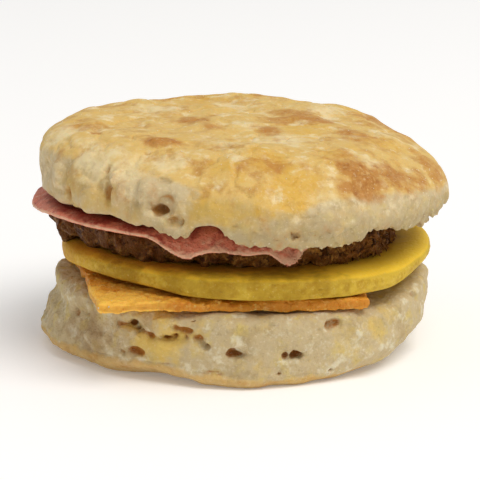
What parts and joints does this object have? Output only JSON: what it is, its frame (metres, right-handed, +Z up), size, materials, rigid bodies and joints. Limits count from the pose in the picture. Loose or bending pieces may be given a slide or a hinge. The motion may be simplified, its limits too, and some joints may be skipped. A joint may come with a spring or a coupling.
{
  "type": "breakfast sandwich",
  "caption": "Split biscuit filled with a ham slice, a sausage patty, an egg patty and a cheese slice, stacked on a flat base.",
  "frame": {"origin": "middle of the sandwich's bounding box, at the level of its base", "axes": "+Z up through the stack, the front faces -Y"},
  "size_m": [0.1, 0.0972, 0.0549],
  "materials": {
    "baked_crumb": "dry baked crumb, torn and pitted, no sheen",
    "processed_cheese": "soft processed cheese, satin",
    "cooked_egg": "moist cooked egg, satin",
    "fried_sausage": "browned minced meat, greasy in its hollows",
    "cured_ham": "moist cured ham, satin",
    "baked_crust": "floury golden crust, browned in patches"
  },
  "bodies": {
    "root": {"biscuit_bottom": "baked_crumb", "cheese_slice": "processed_cheese", "egg_patty": "cooked_egg", "sausage_patty": "fried_sausage", "ham_slice": "cured_ham", "biscuit_top": "baked_crust"}
  },
  "joints": []
}
